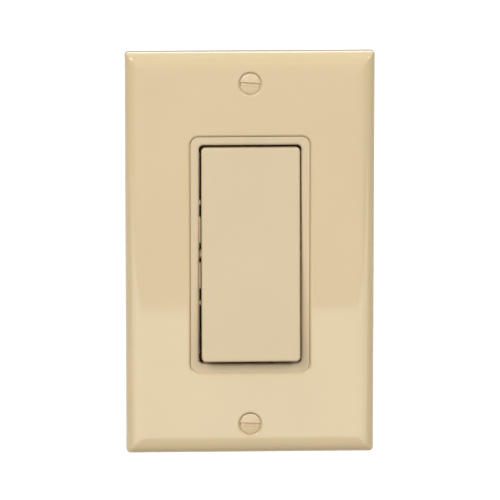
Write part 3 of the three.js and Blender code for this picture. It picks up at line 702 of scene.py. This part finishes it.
def front_frame():
    (x0, x1), (front, _), (z0, z1) = FRAME
    rear = STRAP_Y - 0.1
    outer = rounded(x1 - x0 + FRAME_SPREAD[0], z1 - z0 + FRAME_SPREAD[1], 2.4, 0, -FRAME_DROP,
                    steps=12)
    body = slab("front_frame", outer, front, rear, (0.3, 0.1),
                [(rounded(*WINDOW, steps=12), (0.7, 0.1))])
    wall = WINDOW[0] / 2
    for side, stand, start in GUIDE_SIDES:
        for z, height in GUIDE_PADS:
            reach = sorted((side * (wall - stand), side * (wall + 0.3)))
            join(body, block(reach, (front + start, rear), (z - height / 2, z + height / 2), 0.12))
        # A ledge deep in the window, along its side, fills the outer half of the rocker's gap.
        gap = wall - ROCKER[0] / 2 - side * ROCKER_X
        ledge = sorted((side * (wall - 0.5 * gap), side * (wall + 0.3)))
        join(body, block(ledge, (rear - 0.7, rear), (-29, 29), 0.05))
        socket = 1.4
        cut(body, peg_x(socket, *sorted((side * (wall - 1), side * (wall + 1))), PIVOT_Y, 0),
            block(sorted((side * (wall - 1), side * (wall + 1))), (PIVOT_Y, 0), (-socket, socket)))
    for side in (-1, 1):
        for up in (-1, 1):
            x, z = side * CASE_SCREW.x, up * CASE_SCREW.z
            join(body, peg(1.7, rear - 0.7, FRAME[1][1], x, z))
            cut(body, peg(1.15, -0.6, FRAME[1][1] + 1, x, z))
    return body


stand_in(front_frame(), "front_frame")

for place_name, side in (("top", 1), ("bottom", -1)):
    node = f"rocker_bumper_{place_name}"
    x, y, z = span(node)
    # The grown outline lays the bumpers' dark brown across the window's ends: painted shade.
    outline = between(x, z, 1.3, 6, BUMPER_SHADE_SPREAD)
    stand_in(slab(node, outline, y[0] - 0.03, y[1], (0.2, 0.05)), node)


# ---- rocker --------------------------------------------------------------------------------

TILTED = Matrix.Translation((ROCKER_X, PIVOT_Y, 0)) @ Matrix.Rotation(-ROCKER_TILT, 4, "X")


def tilted(obj):
    """Moves a mesh drawn level about the rocker's pivot to its place at rest."""
    return placed(obj, TILTED)


def rocker():
    width, height, radius = ROCKER
    edge, wall, skin = 0.6, 1.5, 1.8
    level_to, ends_from = 7, 27  # heights up to which the rear edge is level and the sides plumb
    end_flare = 0.2
    stations = (-24, -18, -12, -level_to, 0, level_to, 12, 18, 24)
    bm = bmesh.new()

    def face_y(z):
        return ROCKER_FACE + ROCKER_CREASE * (1 - min(1, abs(z) / (height / 2)))

    def rear_y(z):
        run = min(1, max(0, (abs(z) - level_to) / (height / 2 - level_to)))
        return SIDE_WALL_REAR + (ROCKER_FACE + END_WALL_DEPTH - SIDE_WALL_REAR) * run

    def ring(inset, level, corner):
        """level is 'face' or 'rear' and a distance behind it; the ends flare to the rear."""
        which, below = level
        loop = rounded(width - 2 * inset, height - 2 * inset, corner, steps=12, stations=stations)
        points = []
        for u, v in loop:
            y = (face_y(v) if which == "face" else rear_y(v)) + below
            flare = end_flare * min(1, (y - ROCKER_FACE) / END_WALL_DEPTH)
            points.append((u, y, v + math.copysign(flare, v) if abs(v) > ends_from else v))
        return add_ring(bm, points)

    rings = []
    for a in quarter(8):
        inset = edge * (1 - math.sin(a))
        rings.append(ring(inset, ("face", edge * (1 - math.cos(a))), radius - inset * 0.6))
    rings += [ring(0, ("rear", -0.15), radius), ring(0.15, ("rear", 0), radius),
              ring(wall - 0.15, ("rear", 0), 0.5), ring(wall, ("rear", -0.15), 0.5),
              ring(wall, ("face", skin + 0.3), 0.5), ring(wall + 0.3, ("face", skin), 0.4)]
    join_rings(bm, rings)
    for end in (rings[0], rings[-1]):
        sides = [v for v in end if abs(v.co.z) < 1e-6]
        cap(bm, [end], [(sides[0], sides[1])])
    body = to_object("rocker", bm)

    inner = width / 2 - wall
    ceiling = ROCKER_FACE + skin
    for z in (-21, -12, 12, 21):
        join(body, block((-inner - 0.5, inner + 0.5), (ROCKER_FACE + 1, ceiling + 1.1),
                         (z - 0.5, z + 0.5), 0.1))
    reach = span("rocker")[0][1] - ROCKER_X
    for side in (-1, 1):
        axle = slab("tool", circle(1.3), *sorted((side * (width / 2 - 1), side * reach)),
                    (0.15, 0.15), matrix=ALONG_X)
        join(body, axle)
    join(body, slab("tool", circle(3.7), ROCKER_FACE + 1, 11.8, (0.05, 0.25)))
    cut(body, slab("tool", circle(2.3), -2, 13, (0.1, 0.02)))
    return tilted(body)


stand_in(rocker(), "rocker")

NOSE_Y = ARM_Y - 0.4 - PIVOT_Y - 0.1


def plunger():
    nose = [(1.4 * math.cos(math.radians(a)), NOSE_Y - 1.4 * (1 - math.sin(math.radians(a))))
            for a in range(0, 90, 10)]
    return tilted(turned("plunger", [
        (0, -0.7), (0.7, -0.7), (0.9, -0.5), (0.9, 4.6), (2.05, 4.6), (2.2, 4.75), (2.2, 12.2),
        (2.0, 12.4), (1.4, 12.6), *nose, (0, NOSE_Y)], 48))


stand_in(plunger(), "plunger")

SPRING = {"wire": 0.25, "radius": 1.6, "turns": 7.5, "from": -1.65, "to": 4.25, "closing": 0.088}


def plunger_spring():
    """A coil whose end turns lie closer, swept as a tube along its helix."""
    steps, sides = 196, 10
    bm = bmesh.new()
    rings = []
    length = SPRING["to"] - SPRING["from"]

    def centre(t):
        a = 2 * math.pi * SPRING["turns"] * t
        ease = t - SPRING["closing"] * math.sin(2 * math.pi * t)
        y = SPRING["from"] + length * min(1, max(0, ease))
        return Vector((SPRING["radius"] * math.cos(a), y, SPRING["radius"] * math.sin(a)))

    for k in range(steps + 1):
        t = k / steps
        here = centre(t)
        along = (centre(min(1, t + 1e-4)) - centre(max(0, t - 1e-4))).normalized()
        out = Vector((here.x, 0, here.z)).normalized()
        up = along.cross(out).normalized()
        rings.append(add_ring(bm, [here + SPRING["wire"] * (out * math.cos(a) + up * math.sin(a))
                                   for a in angles(sides)]))
    join_rings(bm, rings)
    bm.faces.new(rings[0])
    bm.faces.new(rings[-1])
    return tilted(to_object("plunger_spring", bm))


spring = stand_in(plunger_spring(), "plunger_spring")
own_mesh(spring)


# ---- mounting strap and what holds it to the wall box --------------------------------------

STRAP_THICKNESS = 1.2
EAR = (14.2, 45.4, 4.6)  # x, z, radius
GROUND = {"y": 5.2, "z": -39.5, "width": 7, "reach": 9.5, "hole": 2.1}


def strap_outline():
    """The body's wide middle, the two end tabs and the four plaster ears."""
    ear_x, ear_z, ear_radius = EAR
    half_width, half_height, tab, end = 17.5, 34.0, 11.0, span("mounting_strap")[2][1]
    swing = math.degrees(math.acos((tab - ear_x) / ear_radius))
    right = arc(half_width - 2, half_height - 2, 2, 0, 90, 8)
    right += arc(tab + 1, half_height + 1, 1, 270, 180, 6)
    right += arc(ear_x, ear_z, ear_radius, -swing, swing, 40)
    right += arc(tab - 3, end - 3, 3, 0, 90, 10)
    left = [(-u, v) for u, v in reversed(right)]
    top = right + left
    return top + [(-u, -v) for u, v in top]


def mounting_strap():
    edge = (0.15, 0.08)
    post_x, post_z = CASE_SCREW.x, CASE_SCREW.z
    holes = [(rounded(29.2, 56.4, 1.5, steps=8), edge)]
    for up in (-1, 1):
        holes.append((rounded(6.8, 4, 1.95, 0, up * MOUNTING_SCREW_Z, 10), edge))
        holes.append((circle(1.75, 0, up * PLATE_SCREW_Z, 32), edge))
        for side in (-1, 1):
            holes.append((circle(1.7, side * EAR[0], up * EAR[1], 32), edge))
            holes.append((circle(1.95, side * post_x, up * post_z, 32), edge))
    strap = slab("mounting_strap", strap_outline(), -STRAP_THICKNESS, 0, edge, holes)
    # The ground tab, folded back from the edge with a rounded bend.
    x, z, half = -12.2, GROUND["z"], GROUND["width"] / 2
    outline = filleted([(-STRAP_THICKNESS + 0.5, z - half, 0.2), (GROUND["reach"], z - half, 1.2),
                        (GROUND["reach"], z + half, 1.2), (-STRAP_THICKNESS + 0.5, z + half, 0.2)])
    tab = slab("tab", outline, x, x + STRAP_THICKNESS, (0.15, 0.15),
               [(circle(GROUND["hole"], GROUND["y"], z, 32), edge)], ALONG_X)
    bend = slab("tool", filleted([(x, -STRAP_THICKNESS, 0.9), (x + 2.2, -STRAP_THICKNESS, 0.2),
                                  (x + 2.2, 0, 0.2), (x, 0, 0.2)]),
                z - half, z + half, (0.12, 0.12),
                matrix=Matrix(((1, 0, 0, 0), (0, 0, 1, 0), (0, 1, 0, 0), (0, 0, 0, 1))))
    return join(strap, tab, bend)


stand_in(mounting_strap(), "mounting_strap")

for place_name, side in (("top", 1), ("bottom", -1)):
    node = f"screw_retainer_{place_name}"
    outline = rounded(9.5, 9.5, 0.8, 0, side * MOUNTING_SCREW_Z, 6)
    stand_in(slab(node, outline, *span(node)[1], (0.05, 0.05),
                  [(circle(1.8, 0, side * MOUNTING_SCREW_Z, 40), (0.05, 0.05))]), node)


def ground_screw():
    shank_end = 5.4
    turn = Matrix.Translation((-12.3, GROUND["y"], GROUND["z"])) @ Matrix.Rotation(
        -math.pi / 2, 4, "Z")
    bolt = screw([(0, -0.75), (3.3, -0.75), (3.5, -0.6), (3.5, -0.1), (3.4, 0), (2, 0), (2, 0.4)],
                 2, 0.5, shank_end, COARSE_PITCH, (0.9, -1.5, -4, 6), Matrix.Identity(4))
    corner = 3.5 * 0.88 / math.cos(math.pi / 6)
    hexagon = [(corner * math.cos(a), corner * math.sin(a), 0.4) for a in angles(6)]
    head = slab("tool", filleted(hexagon, 4), -2.6, -0.7, (0.3, 0.02))
    cut(head, block((-6, 6), (-4, -1.5), (-0.45, 0.45), 0.06))
    join(bolt, head)
    return placed(bolt, turn)


stand_in(ground_screw(), "ground_screw")


# ---- contact arm and contacts --------------------------------------------------------------

ARM_PLACE = Matrix.Translation((0, ARM_Y, 0)) @ Matrix.Rotation(ARM_TILT, 4, "X")
RIVET_Z = -9.5


def contact_arm():
    outline = rounded(7, 19.5, 1.2, 0, -1.75, 8)
    hole = circle(0.9, 0, RIVET_Z, 32)
    arm = slab("contact_arm", outline, -0.4, 0.4, (0.1, 0.1), [(hole, (0.05, 0.05))])
    roll = peg_x(0.9, -5.4, 5.4, 0, 0, 32)
    cut(roll, block((-6, 6), (-2, -0.38), (-2, 2)))
    return placed(join(arm, roll), ARM_PLACE)


def rivet(grip, matrix):
    """Contact head to the rear, formed tail to the front."""
    head = grip + 1
    return placed(turned("rivet", [
        (0, -grip - 0.5), (0.9, -grip - 0.5), (1.15, -grip - 0.42), (1.3, -grip - 0.2),
        (1.3, -grip), (0.8, -grip), (0.8, grip), (1.8, grip), (1.9, grip + 0.1),
        (1.9, grip + 0.5), (1.8, grip + 0.68), (1.5, grip + 0.84), (1.0, head - 0.04),
        (0.5, head - 0.005), (0, head)], 48), matrix)


stand_in(contact_arm(), "contact_arm")
stand_in(rivet(0.45, ARM_PLACE @ Matrix.Translation((0, 0, RIVET_Z))), "moving_contact")
fixed = span("fixed_contact")
stand_in(rivet(0.65, Matrix.Translation((0, fixed[1][0] + 1.65, middle("fixed_contact").z))
               @ Matrix.Rotation(math.pi, 4, "X")), "fixed_contact")


# ---- terminals -----------------------------------------------------------------------------

TERMINAL_Z = middle("line_clamp_plate").z
LOAD_REAR = span("load_terminal")[1][1]
PAD_X = (9.8, 11.0)
PAD_Y = (5, 17)
PAD_SCREW_Y = 11
SHEET_EDGE = (0.15, 0.15)


def sheet_x(x, y, z, radius, holes=()):
    """A sheet-metal piece whose faces look along X."""
    return slab("sheet", between(y, z, radius), *x, SHEET_EDGE, holes, ALONG_X)


def sheet_y(x, y, z, radius, holes=()):
    """A sheet-metal piece whose faces look along Y."""
    return slab("sheet", between(x, z, radius), *y, SHEET_EDGE, holes)


def terminal_pad(z):
    tapped = (circle(2.1, PAD_SCREW_Y, z, 32), (0.1, 0.1))
    return sheet_x(PAD_X, PAD_Y, (z - 5.4, z + 5.4), 1.0, [tapped])


def line_terminal():
    terminal = terminal_pad(TERMINAL_Z)
    join(terminal, sheet_x(PAD_X, (13, 18.2), (-3, TERMINAL_Z), 0.2),
         sheet_y((-5.4, PAD_X[1]), (17, 18.2), (-3, 3), 0.6))
    for side in (-1, 1):
        x = (side * 4.7 - 0.5, side * 4.7 + 0.5)
        ear = sheet_x(x, (14.9, 17.3), (-2.4, 2.4), 0.3)
        cut(ear, peg_x(1.0, x[0] - 1, x[1] + 1, ARM_Y, 0, 32),
            block((x[0] - 1, x[1] + 1), (13, ARM_Y), (-1, 1)))
        join(terminal, ear)
    return terminal


def load_terminal():
    low, high = -12, -6.5
    hole = (circle(0.9, 0, middle("fixed_contact").z, 32), (0.05, 0.05))
    terminal = terminal_pad(-TERMINAL_Z)
    return join(terminal, sheet_x(PAD_X, (16, LOAD_REAR), (low, high), 0.2),
                sheet_y((-3.2, PAD_X[1]), (LOAD_REAR - 1.2, LOAD_REAR), (low, high), 0.6, [hole]))


stand_in(line_terminal(), "line_terminal")
stand_in(load_terminal(), "load_terminal")

for name, side in (("line", 1), ("load", -1)):
    node = f"{name}_clamp_plate"
    x, y, z = span(node)
    centre = middle(node)
    hole = (circle(2.2, centre.y, centre.z, 40), (0.1, 0.1))
    clamp = slab(node, between(y, z, 0.8, 6), *x, (0.2, 0.2), [hole], ALONG_X)
    for row in range(-4, 5):
        cut(clamp, block((x[0] - 1, x[0] + 0.18), (y[0] - 1, y[1] + 1),
                         (centre.z + row - 0.15, centre.z + row + 0.15)))
    stand_in(clamp, node)
    node = f"{name}_terminal_screw"
    seat = x[1] + 0.1
    turn = (Matrix.Translation((seat, PAD_SCREW_Y, centre.z)) @ Matrix.Rotation(math.pi / 2, 4, "Z")
            @ about_y(side * 35))
    stand_in(screw(round_head(3.7, 2.25, 2), 2, 0.4, 4.1, COARSE_PITCH, (0.9, -1.3, -2.3, 6),
                   turn), node)


# ---- switch body ---------------------------------------------------------------------------

BODY = span("rear_body")
BAY_X, BAY_Y, BAY_HALF = 9.6, (4, 17.6), 5.8
CELL_X, CELL_HALF, CELL_FLOOR = (-14.4, 8), 28, 22.3


def rear_body():
    (x0, x1), (front, rear), (z0, z1) = BODY
    body = slab("rear_body", rounded(x1 - x0, z1 - z0, 2, steps=10), front, rear, (0.2, 0.5))
    for side in (-1, 1):
        corner = [(side * (x1 - 1.5), rear + 0.001), (side * (x1 + 1), rear + 0.001),
                  (side * (x1 + 1), rear - 2.5), (side * x1, rear - 1.5)]
        cut(body, bar([[(x, y, z) for x, y in corner] for z in (z0 - 1, z1 + 1)]))
    cut(body, block(CELL_X, (front - 1, CELL_FLOOR), (-CELL_HALF, CELL_HALF), 0.4))
    way = (PAD_X[0] - 0.2, PAD_X[1] + 0.2)
    for up in (-1, 1):
        z = up * TERMINAL_Z
        cut(body, block((BAY_X, x1 + 1), BAY_Y, (z - BAY_HALF, z + BAY_HALF), 0.3),
            peg_x(2.3, CELL_X[1] - 1, BAY_X + 1, PAD_SCREW_Y, z, 32),
            block(way, (front - 1, BAY_Y[0] + 1), (z - 5.6, z + 5.6)))
        for off in (-3.6, 3.6):
            cut(body, turned("tool", [(0, BAY_Y[1] - 1), (1.3, BAY_Y[1] - 1), (1.3, rear - 0.8),
                                      (1.9, rear), (1.9, rear + 1), (0, rear + 1)], 32,
                             Matrix.Translation((middle("line_clamp_plate").x, 0, z + off))))
        for side in (-1, 1):
            x, post_z = side * CASE_SCREW.x, up * CASE_SCREW.z
            cut(body, turned("tool", [(0, front - 1), (1.85, front - 1), (1.85, 4.7), (1.25, 4.7),
                                      (1.25, rear - 2), (2.15, rear - 2), (2.15, rear - 0.2),
                                      (2.35, rear), (2.35, rear + 1), (0, rear + 1)], 40,
                             Matrix.Translation((x, 0, post_z))))
    cross = (CELL_X[1] - 1, PAD_X[1] + 0.2)
    line_rear, load_rear = 18.5, LOAD_REAR + 0.3
    cut(body, block(way, (front - 1, line_rear), (-3.3, TERMINAL_Z)),
        block(cross, (front - 1, line_rear), (-3.3, 3.3)),
        block(way, (front - 1, load_rear), (-TERMINAL_Z - 1, -6.2)),
        block(cross, (front - 1, load_rear), (-12.3, -6.2)))
    join(body, block((-6, CELL_X[1] + 0.5), (18.3, CELL_FLOOR + 0.5), (-2.8, 2.8)),
         block((-3.5, 3.5), (19.1, CELL_FLOOR + 0.5), (5.8, 8.6)))
    base = block((-4, CELL_X[1] + 0.5), (load_rear - 0.2, CELL_FLOOR + 0.5), (-12, -6.5))
    cut(base, peg(1.6, 15, CELL_FLOOR + 0.4, 0, middle("fixed_contact").z))
    join(body, base)
    # A shallow panel on the back, with finger ribs beside it.
    cut(body, block((-8, 6.5), (rear - 0.3, rear + 1), (-22, 22), 1.5))
    for row in range(-5, 6):
        cut(body, block((-13, -9.6), (rear - 0.3, rear + 1), (row * 3.6 - 0.45, row * 3.6 + 0.45),
                        0.4))
    return body


stand_in(rear_body(), "rear_body")

x, y, z = span("arm_stop_pad")
stand_in(slab("arm_stop_pad", rounded(x[1] - x[0], z[1] - z[0], 0.5, 0, sum(z) / 2, 6), *y,
              (0.3, 0.1)), "arm_stop_pad")

for across, side_name in ((-1, "left"), (1, "right")):
    for up, level_name in ((1, "top"), (-1, "bottom")):
        node = f"case_screw_{level_name}_{side_name}"
        seat = span(node)[1][1] - 1.4
        turn = (Matrix.Translation((across * CASE_SCREW.x, seat, up * CASE_SCREW.z))
                @ Matrix.Rotation(math.pi, 4, "X") @ about_y(37 * across + 20 * up))
        stand_in(screw(round_head(1.95, 1.37, 1.05), 1.05, 9.0, 22.3, CASE_PITCH,
                       (0.6, -0.8, -1.4, 6), turn, steps=24), node)


# ---- floor, light and camera ---------------------------------------------------------------

FLOOR_REACH, FLOOR_DROP = 6000, 160  # half a side, and how far it lies below the plate


def floor():
    """One half behind the wall plane, and one in front that the object doesn't reflect."""
    finish = Finish("floor", Roughness=0.9)
    tone = finish.noise(0.002, 2.0)
    finish.colour(finish.blend_colour(tone, (0.86, 0.86, 0.86), (0.88, 0.88, 0.88)))
    for name, side in (("floor_rear", 1), ("floor_front", -1)):
        bm = bmesh.new()
        bmesh.ops.create_grid(bm, x_segments=1, y_segments=1, size=FLOOR_REACH)
        bm.transform(Matrix.Translation((0, side * FLOOR_REACH, PLATE[2][0] - FLOOR_DROP)))
        plane = to_object(name, bm)
        plane.visible_glossy = plane.visible_diffuse = side > 0
        plane.data.materials.append(finish.material)


floor()


DAYLIGHT = (1.01, 1.035, 1.08)


def area_light(name, position, target, size, power, colour=(1, 1, 1)):
    data = bpy.data.lights.new(name, "AREA")
    data.color = colour
    data.shape = "RECTANGLE"
    data.size, data.size_y = size
    data.energy = power
    lamp = bpy.data.objects.new(name, data)
    lamp.location = position
    lamp.rotation_mode = "QUATERNION"
    lamp.rotation_quaternion = (Vector(target) - Vector(position)).to_track_quat("-Z", "Y")
    lamp.visible_camera = False
    bpy.context.scene.collection.objects.link(lamp)
    return lamp


area_light("left", (-0.8, -1.15, 0.85), (0, 0, 0), (0.6, 0.6), 11.4, DAYLIGHT)
area_light("right", (0.8, -1.15, 0.85), (0, 0, 0), (0.6, 0.6), 6.9, DAYLIGHT)
area_light("front", (-0.1, -1.6, 0.1), (0, 0, 0.05), (1.6, 1.2), 5.5)
area_light("table", (0, -1.0, -0.30), (0, 0, -0.30), (2.4, 0.16), 2.1)
area_light("backdrop", (0, 2.0, 1.6), (0, 2.2, -0.2), (3.0, 2.0), 60)


# sine of the height above the horizon, and how bright the room is there
STUDIO_LEVELS = ((-0.75, 0.25), (-0.5, 0.5), (-0.3, 0.5), (-0.2, 0.13), (0.0, 0.13), (0.5, 0.4))
STUDIO_BELOW, STUDIO_ABOVE = 0.22, 0.8  # straight down and straight up
STUDIO_TINT = (1.0, 0.96, 0.92)
BACKDROP = 1.05


def studio():
    """A pale room: white where the camera looks, and for the object dim in front, with a
    brighter band below that its lower edge reflects."""
    world = bpy.data.worlds.new("studio")
    world.use_nodes = True
    tree = world.node_tree
    tree.nodes.clear()
    out = tree.nodes.new("ShaderNodeOutputWorld")
    room = tree.nodes.new("ShaderNodeBackground")
    backdrop = tree.nodes.new("ShaderNodeBackground")
    mix = tree.nodes.new("ShaderNodeMixShader")
    path = tree.nodes.new("ShaderNodeLightPath")
    where = tree.nodes.new("ShaderNodeTexCoord")
    split = tree.nodes.new("ShaderNodeSeparateXYZ")
    ramp = tree.nodes.new("ShaderNodeValToRGB")
    spread = tree.nodes.new("ShaderNodeMapRange")
    tree.links.new(where.outputs["Generated"], split.inputs[0])
    tree.links.new(split.outputs["Z"], spread.inputs["Value"])
    spread.inputs["From Min"].default_value = -1
    spread.inputs["From Max"].default_value = 1
    tree.links.new(spread.outputs["Result"], ramp.inputs["Fac"])
    stops = ramp.color_ramp.elements
    stops[0].color = (*shade(STUDIO_TINT, STUDIO_BELOW), 1)
    stops[1].color = (STUDIO_ABOVE, STUDIO_ABOVE, STUDIO_ABOVE, 1)
    for sine, value in STUDIO_LEVELS:
        stop = stops.new((sine + 1) / 2)
        stop.color = (*shade(STUDIO_TINT, value), 1)
    tree.links.new(ramp.outputs["Color"], room.inputs["Color"])
    backdrop.inputs["Color"].default_value = (1, 1, 1, 1)
    backdrop.inputs["Strength"].default_value = BACKDROP
    tree.links.new(path.outputs["Is Camera Ray"], mix.inputs["Fac"])
    tree.links.new(room.outputs[0], mix.inputs[1])
    tree.links.new(backdrop.outputs[0], mix.inputs[2])
    tree.links.new(mix.outputs[0], out.inputs["Surface"])
    bpy.context.scene.world = world


studio()
bpy.context.scene.view_settings.view_transform = "Standard"

CAMERA_DISTANCE = 1.337
CAMERA_AZIMUTH, CAMERA_ELEVATION = math.radians(-2.2), math.radians(10.9)
CAMERA_TARGET = Vector((0.00003, -0.003, 0.00099))
FIELD_PER_METRE = 0.10473  # width of the view for each metre of distance


def camera():
    data = bpy.data.cameras.new("camera")
    data.sensor_width = 36
    data.lens = data.sensor_width / FIELD_PER_METRE
    data.clip_start, data.clip_end = 0.05, 20
    obj = bpy.data.objects.new("camera", data)
    back = Vector((math.sin(CAMERA_AZIMUTH) * math.cos(CAMERA_ELEVATION),
                   -math.cos(CAMERA_AZIMUTH) * math.cos(CAMERA_ELEVATION),
                   math.sin(CAMERA_ELEVATION)))
    obj.location = CAMERA_TARGET + back * CAMERA_DISTANCE
    obj.rotation_mode = "QUATERNION"
    obj.rotation_quaternion = (-back).to_track_quat("-Z", "Y")
    bpy.context.scene.collection.objects.link(obj)
    bpy.context.scene.camera = obj


camera()
